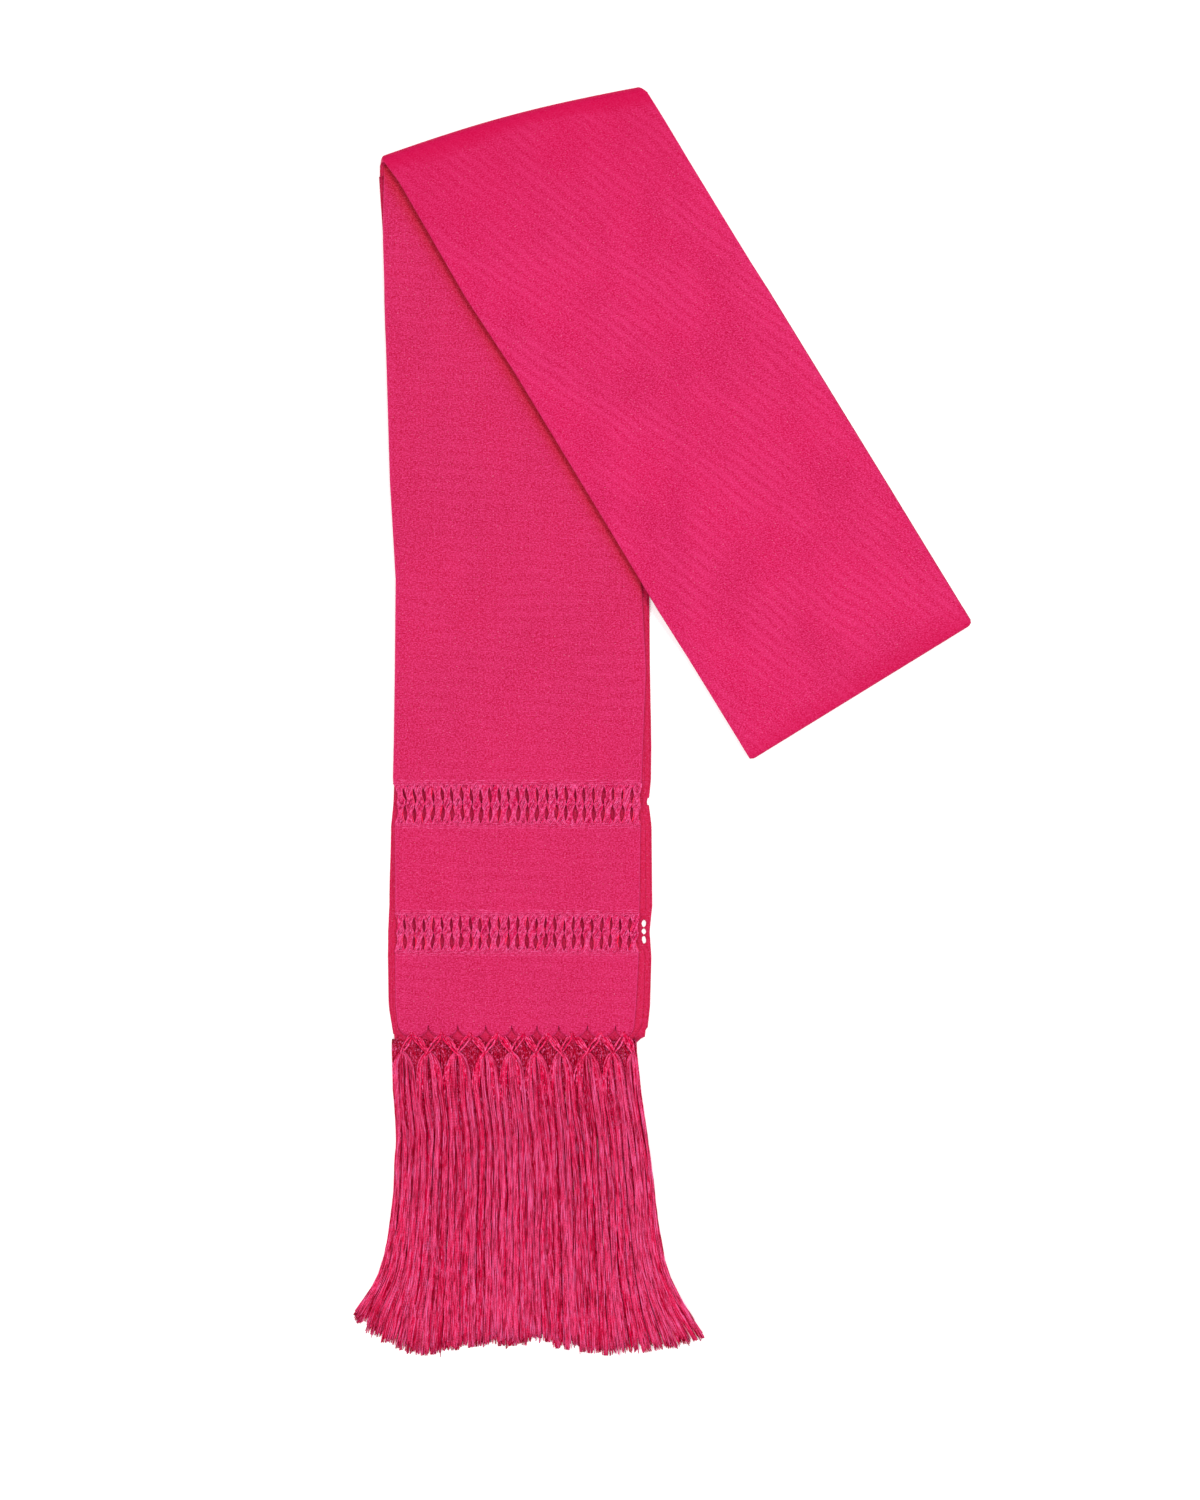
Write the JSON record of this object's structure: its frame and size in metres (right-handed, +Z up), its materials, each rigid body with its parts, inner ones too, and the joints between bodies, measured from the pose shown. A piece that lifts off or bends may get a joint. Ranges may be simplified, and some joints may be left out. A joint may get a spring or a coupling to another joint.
{
  "type": "folded rebozo shawl",
  "caption": "Woven shawl folded into a band and turned over at a slanted crease, with openwork bands and a knotted fringe, lying flat.",
  "frame": {"origin": "on the surface that the shawl lies on, under the middle of its outline", "axes": "+Z up from the surface, +Y from the fringe towards the crease, +X towards the slanted leg's far end"},
  "size_m": [0.4325, 0.8829, 0.0115],
  "materials": {
    "straight_cloth": "hot pink fine warp-faced weave, openwork bands, soft sheen",
    "slanted_cloth": "hot pink fine warp-faced weave with faint crosswise ribs, soft sheen",
    "hidden_cloth": "hot pink weave seen at the folded edges",
    "fringe_yarn": "hot pink twisted yarn, soft sheen"
  },
  "bodies": {
    "root": {"fringed_panel": "straight_cloth", "slanted_panel": "slanted_cloth", "straight_stack": "hidden_cloth", "slanted_stack": "hidden_cloth", "upper_fringe": "fringe_yarn", "lower_fringe": "fringe_yarn"}
  },
  "joints": []
}
